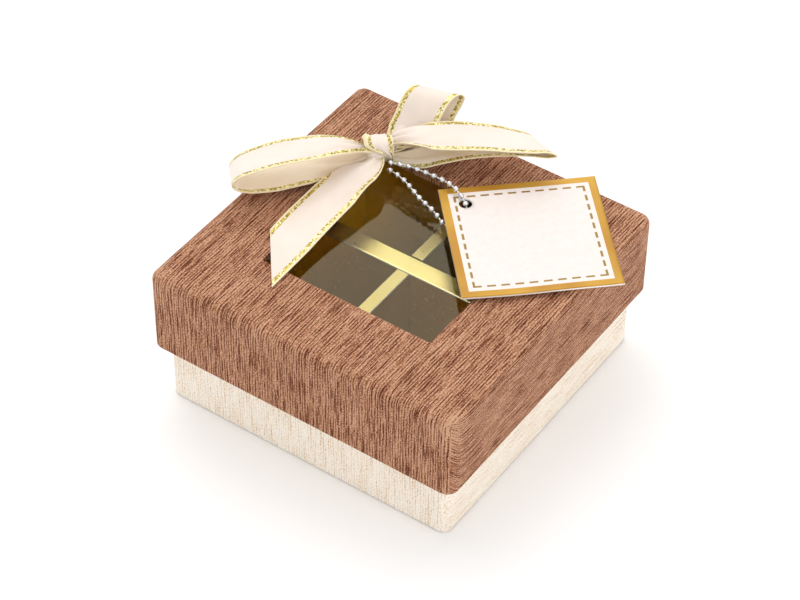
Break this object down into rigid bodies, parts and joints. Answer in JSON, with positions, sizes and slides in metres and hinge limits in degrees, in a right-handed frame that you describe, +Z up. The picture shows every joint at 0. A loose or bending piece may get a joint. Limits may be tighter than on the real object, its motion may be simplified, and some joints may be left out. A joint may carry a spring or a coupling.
{
  "type": "chocolate box",
  "caption": "Square rigid gift box for chocolates: lift-off lid with a clear window, folded divided insert, ribbon bow and a blank tag on a ball chain.",
  "frame": {"origin": "middle of the underside, the face the box stands on", "axes": "+Z up, out of the lid; X along the front of the box, left to right; Y towards its back"},
  "size_m": [0.1025, 0.0917, 0.055],
  "materials": {
    "greyboard": "raw grey chipboard",
    "stay_paper": "kraft paper",
    "cream_paper": "cream textured paper with tan grain",
    "lining_paper": "plain off-white paper",
    "gold_card": "mirror gold foil on card",
    "brown_paper": "brown textured paper with dark grain",
    "clear_film": "clear glossy film",
    "ribbon": "cream satin with metallic gold edge stripes",
    "hot_melt": "translucent hot-melt adhesive",
    "plated_steel": "bright silver plating",
    "tag_card": "smooth white card, gold printed border"
  },
  "bodies": {
    "base": {"base_board": "greyboard", "base_corner_stays": "stay_paper", "base_wrap": "cream_paper", "base_bottom_paper": "cream_paper", "base_liner": "lining_paper"},
    "insert": {"insert_tray": "gold_card"},
    "cross": {"cross_divider": "gold_card"},
    "long": {"long_divider": "gold_card"},
    "lid": {"lid_board": "greyboard", "lid_corner_stays": "stay_paper", "lid_wrap": "brown_paper", "window_film": "clear_film", "lid_liner": "lining_paper", "bow_knot": "ribbon", "bow_left_loop": "ribbon", "bow_right_loop": "ribbon", "bow_front_tail": "ribbon", "bow_back_tail": "ribbon", "bow_glue_pad": "hot_melt"},
    "chain": {"ball_chain": "plated_steel", "chain_clasp": "plated_steel"},
    "tag": {"gift_tag": "tag_card"}
  },
  "joints": [
    {"name": "insert_lift", "type": "slide", "parent": "base", "child": "insert", "axis": [0, 0, 1], "range_m": [0, 0.05]},
    {"name": "cross_divider_lift", "type": "slide", "parent": "insert", "child": "cross", "axis": [0, 0, 1], "range_m": [0, 0.04]},
    {"name": "long_divider_lift", "type": "slide", "parent": "cross", "child": "long", "axis": [0, 0, 1], "range_m": [0, 0.04]},
    {"name": "lid_lift", "type": "slide", "parent": "long", "child": "lid", "axis": [0, 0, 1], "range_m": [0, 0.06]},
    {"name": "chain_swing", "type": "hinge", "parent": "lid", "child": "chain", "pos_m": [-0.0178, 0.019, 0.0445], "axis": [0, -0.7071, -0.7071], "range_deg": [0, 60]},
    {"name": "tag_turn", "type": "hinge", "parent": "chain", "child": "tag", "pos_m": [0.0052, 0.0195, 0.04315], "axis": [0, 0, 1], "range_deg": [-30, 8]}
  ]
}
